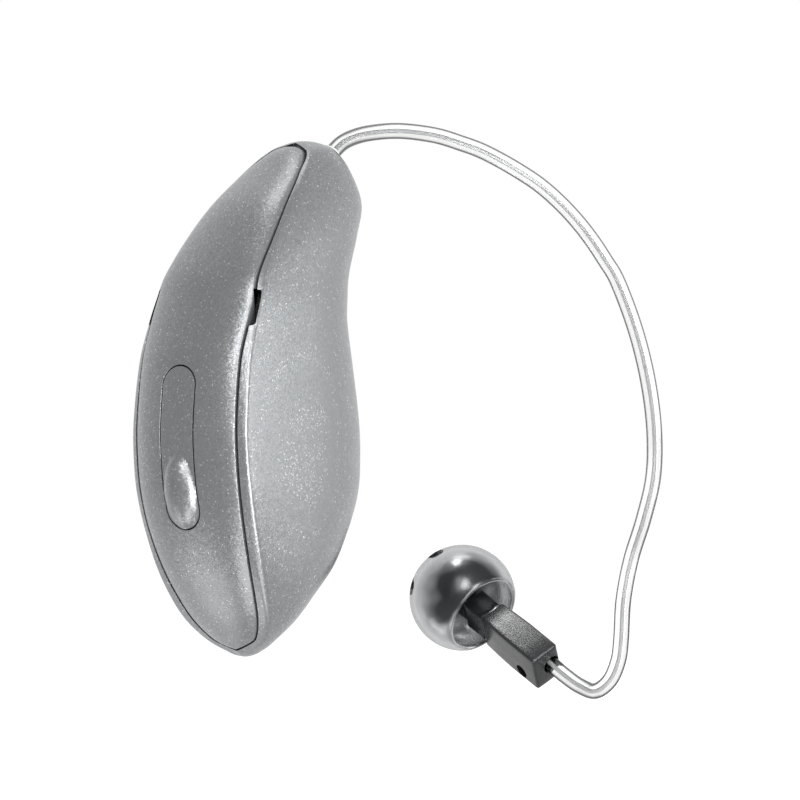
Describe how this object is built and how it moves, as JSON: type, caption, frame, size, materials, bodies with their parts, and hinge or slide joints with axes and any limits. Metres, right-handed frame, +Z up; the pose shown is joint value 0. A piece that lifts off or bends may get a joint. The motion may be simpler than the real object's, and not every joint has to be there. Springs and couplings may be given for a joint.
{
  "type": "behind the ear hearing aid",
  "caption": "Behind the ear hearing aid with a push button, a clear receiver wire, an in-ear receiver and an open ear dome, with its electronics, microphones and battery cell inside",
  "frame": {"origin": "the ear seat, on the housing's concave front, where it rests behind the root of the ear", "axes": "+X forward from the spine to the ear's root and on to the wire's front, +Y medially to the head, +Z up along the housing"},
  "size_m": [0.0327, 0.0149, 0.032],
  "materials": {
    "housing_paint": "mid grey metallic paint with fine bright flakes, satin",
    "button_paint": "the same grey metallic paint, glossier on the thumb bump",
    "receiver_plastic": "satin black with fine speckle",
    "nose_gloss": "glossy black",
    "dome_silicone": "smoky silicone with a mirror-like gloss",
    "clear_tube": "clear flexible tube round thin conductors",
    "white_plastic": "white, glossy",
    "black_plastic": "black, matt",
    "seal_rubber": "dark grey silicone rubber",
    "steel": "bare stainless steel",
    "cell_steel": "bright nickel-plated steel can",
    "gold_contact": "gold plated contact",
    "coil_copper": "copper",
    "ferrite": "dark ferrite sheet",
    "board_green": "green solder mask",
    "chip_black": "black chip package"
  },
  "bodies": {
    "housing": {"main_housing": "housing_paint", "spine_cover": "housing_paint", "button_gasket": "seal_rubber", "hinge_pin": "steel", "switch_base": "black_plastic", "snap_disc": "steel", "chassis": "black_plastic", "battery_cell": "cell_steel", "positive_tab": "gold_contact", "negative_tab": "gold_contact", "ferrite_sheet": "ferrite", "charging_coil": "coil_copper", "main_board": "board_green", "processor_chip": "chip_black", "radio_chip": "chip_black", "memory_chip": "chip_black", "power_chip": "chip_black", "antenna_strip": "coil_copper", "telecoil": "coil_copper", "front_microphone": "steel", "front_mic_boot": "seal_rubber", "rear_microphone": "steel", "rear_mic_boot": "seal_rubber", "mic_screens": "black_plastic", "wire_socket": "black_plastic", "socket_contacts": "gold_contact"},
    "button": {"push_button": "button_paint"},
    "plunger": {"switch_plunger": "white_plastic"},
    "wire_assembly": {"exit_collar": "white_plastic", "wire_plug": "white_plastic", "plug_rings": "gold_contact", "plug_seal": "seal_rubber", "receiver_wire": "clear_tube", "receiver_shell": "receiver_plastic", "receiver_nose": "nose_gloss", "receiver_driver": "steel", "driver_mount": "seal_rubber", "driver_pads": "gold_contact", "sound_nozzle": "steel"},
    "wax_filter": {"wax_guard": "white_plastic", "wax_screen": "steel"},
    "dome": {"ear_dome": "dome_silicone"}
  },
  "joints": [
    {"name": "button_press", "type": "hinge", "parent": "housing", "child": "button", "pos_m": [-0.01104, 0, -0.0033], "axis": [0, -1, 0], "range_deg": [0, 2.2], "stiffness_Nm_per_rad": 0.3},
    {"name": "plunger_travel", "type": "slide", "parent": "housing", "child": "plunger", "axis": [0.9707, 0, 0.2404], "range_m": [0, 0.00024]},
    {"name": "wire_unplug", "type": "slide", "parent": "housing", "child": "wire_assembly", "axis": [0.848, 0, 0.5299], "range_m": [0, 0.0045]},
    {"name": "wax_guard_pull", "type": "slide", "parent": "wire_assembly", "child": "wax_filter", "axis": [0.0506, 0.852, 0.521], "range_m": [0, 0.003]},
    {"name": "dome_pull_off", "type": "slide", "parent": "wire_assembly", "child": "dome", "axis": [0.0506, 0.852, 0.521], "range_m": [0, 0.004]}
  ],
  "couplings": [
    {"joint": "plunger_travel", "follows": "button_press", "m_per_rad": 0.0060575}
  ]
}
